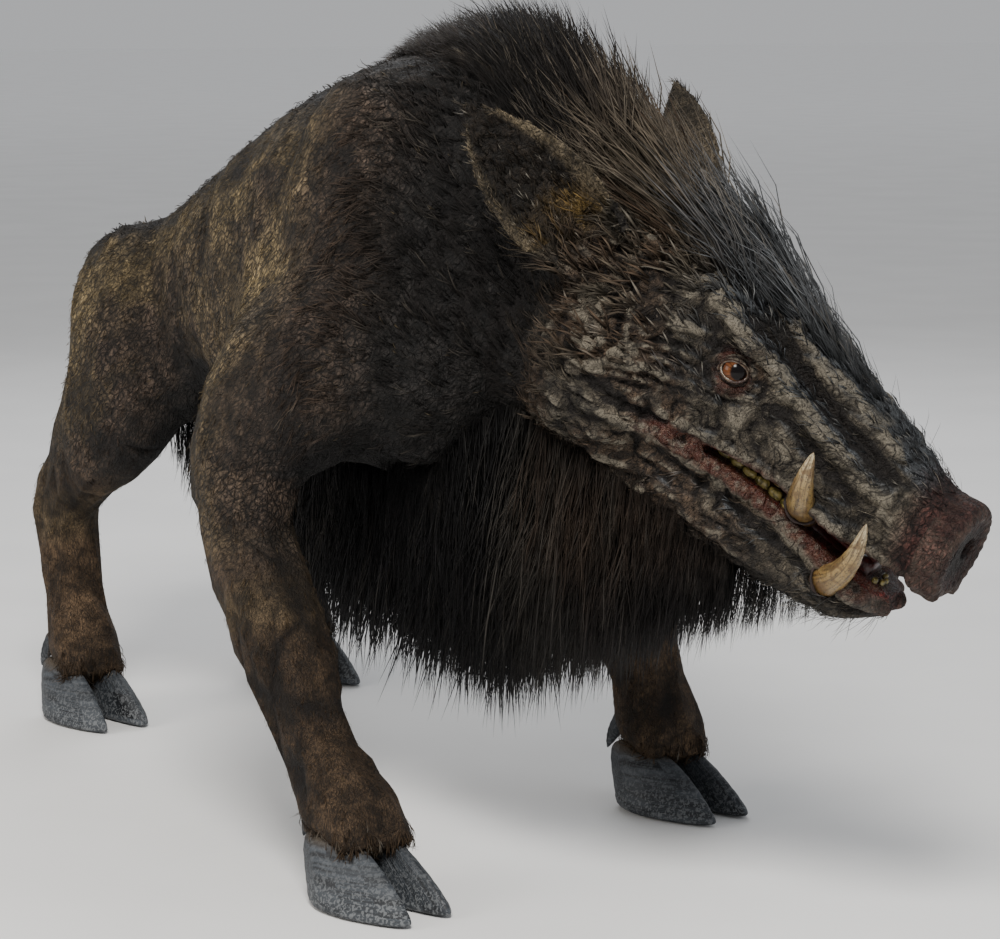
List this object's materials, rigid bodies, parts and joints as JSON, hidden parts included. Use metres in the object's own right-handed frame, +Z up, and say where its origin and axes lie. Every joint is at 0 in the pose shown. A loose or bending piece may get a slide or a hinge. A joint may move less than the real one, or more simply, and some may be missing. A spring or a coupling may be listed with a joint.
{
  "type": "wild boar, life-size still model",
  "caption": "Life-size standing male wild boar, head low and turned, with tusks, cloven hooves, bristly mane, hanging throat and belly hair and a tufted tail.",
  "frame": {"origin": "bottom centre of the whole model's box, on the ground between the hooves", "axes": "+Z up, the boar faces -Y, its left side is at +X"},
  "size_m": [0.6508, 1.6444, 1.0069],
  "materials": {
    "hide": "dark brown-grey hide under short coarse hair",
    "face": "grizzled, deeply wrinkled hide with very short hair",
    "leg_hide": "rusty brown hide with very short hair",
    "nose": "bare moist nose skin, dark red-brown",
    "hair": "long near-black bristles with lighter streaks",
    "hoof": "blue-grey horn with fine streaks",
    "ivory": "yellowed ivory, stained brown at the root",
    "eye": "wet amber-brown eye",
    "tongue": "wet dark red flesh"
  },
  "bodies": {
    "root": {"belly_fringe": "hair", "claw_front_left_inner": "hoof", "claw_front_left_outer": "hoof", "claw_front_right_inner": "hoof", "claw_front_right_outer": "hoof", "claw_hind_left_inner": "hoof", "claw_hind_left_outer": "hoof", "claw_hind_right_inner": "hoof", "claw_hind_right_outer": "hoof", "dewclaw_front_left_inner": "hoof", "dewclaw_front_left_outer": "hoof", "dewclaw_front_right_inner": "hoof", "dewclaw_front_right_outer": "hoof", "dewclaw_hind_left_inner": "hoof", "dewclaw_hind_left_outer": "hoof", "dewclaw_hind_right_inner": "hoof", "dewclaw_hind_right_outer": "hoof", "ear_left": "face", "ear_right": "face", "eye_left": "eye", "eye_right": "eye", "forefoot_left": "leg_hide", "forefoot_right": "leg_hide", "foreleg_lower_left": "leg_hide", "foreleg_lower_right": "leg_hide", "foreleg_upper_left": "leg_hide", "foreleg_upper_right": "leg_hide", "head": "face", "hindfoot_left": "leg_hide", "hindfoot_right": "leg_hide", "hindleg_lower_left": "leg_hide", "hindleg_lower_right": "leg_hide", "hindleg_upper_left": "leg_hide", "hindleg_upper_right": "leg_hide", "jaw": "face", "mane_back": "hair", "mane_neck": "hair", "neck": "hide", "snout": "nose", "tail": "hide", "tail_tuft": "hair", "throat_fringe": "hair", "tongue": "tongue", "trunk": "hide", "tusk_lower_left": "ivory", "tusk_lower_right": "ivory", "tusk_upper_left": "ivory", "tusk_upper_right": "ivory"}
  },
  "joints": []
}
